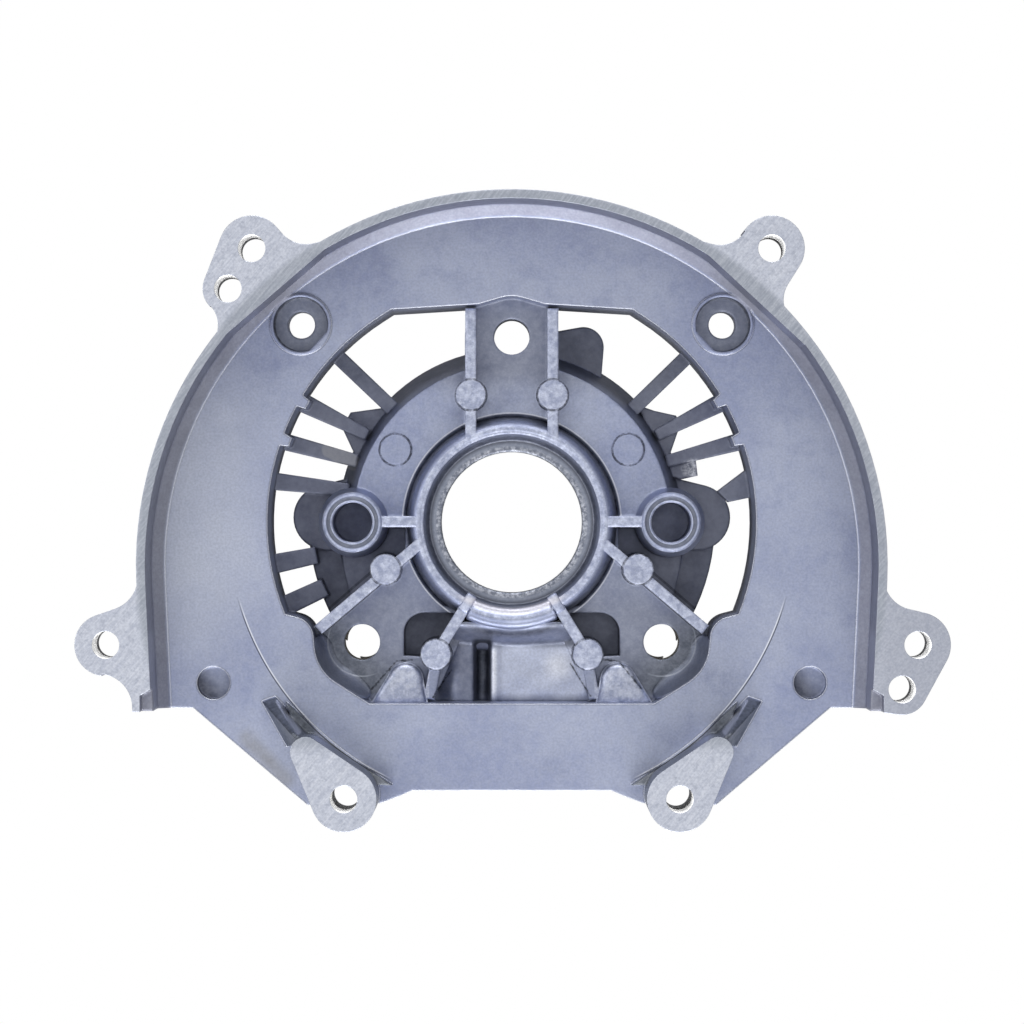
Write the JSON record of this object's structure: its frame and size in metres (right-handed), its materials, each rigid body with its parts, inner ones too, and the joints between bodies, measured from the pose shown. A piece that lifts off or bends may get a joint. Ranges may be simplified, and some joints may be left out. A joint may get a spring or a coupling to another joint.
{
  "type": "engine crankcase half",
  "caption": "Die-cast crankcase half with a fan housing wall, a ribbed bearing hub in a cooling-air grille, and screw ears on a machined rim.",
  "frame": {"origin": "on the axis of the main bore, in the joint face that meets the other crankcase half", "axes": "+Z along the main bore towards the machined rim and the flywheel side, +Y towards the closed top of the fan housing wall, away from the two cover bosses"},
  "size_m": [0.2106, 0.1545, 0.048],
  "materials": {
    "cast_aluminium": "as die cast, matt and faintly mottled; rim, ears, bosses and bore machined"
  },
  "bodies": {
    "root": {"crankcase_half": "cast_aluminium"}
  },
  "joints": []
}
